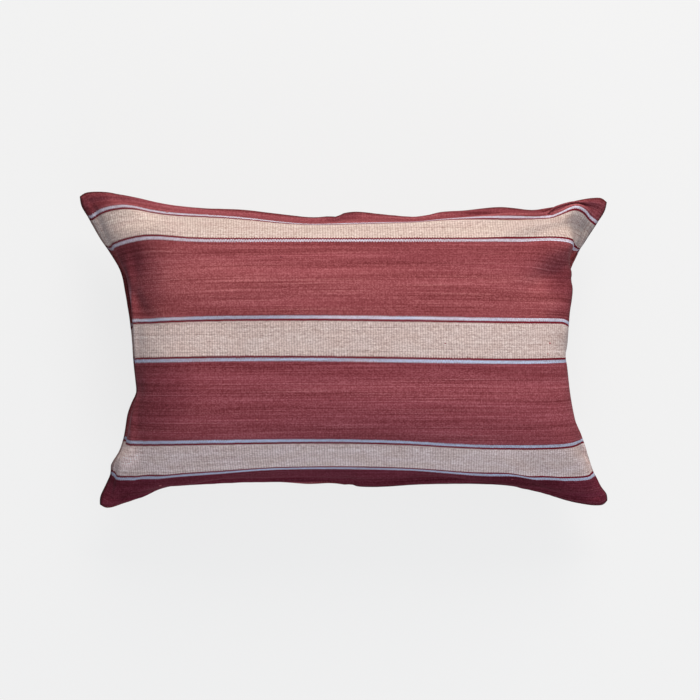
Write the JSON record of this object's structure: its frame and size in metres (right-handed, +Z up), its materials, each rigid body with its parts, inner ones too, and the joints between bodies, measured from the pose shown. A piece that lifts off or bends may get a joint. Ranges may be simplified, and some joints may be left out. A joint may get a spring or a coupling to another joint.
{
  "type": "lumbar pillow",
  "caption": "Oblong filled lumbar pillow with a striped woven cover, crowned faces, sides drawn in between pointed ears and a plain sewn edge.",
  "frame": {"origin": "on the surface it lies on, under the middle of its outline", "axes": "+X along the pillow, +Y across it towards its upper edge, +Z up out of its front face"},
  "size_m": [0.508, 0.305, 0.134],
  "materials": {
    "striped_cloth": "matt ribbed weave in dull red with cream, lavender and dark red stripes"
  },
  "bodies": {
    "root": {"cushion": "striped_cloth"}
  },
  "joints": []
}
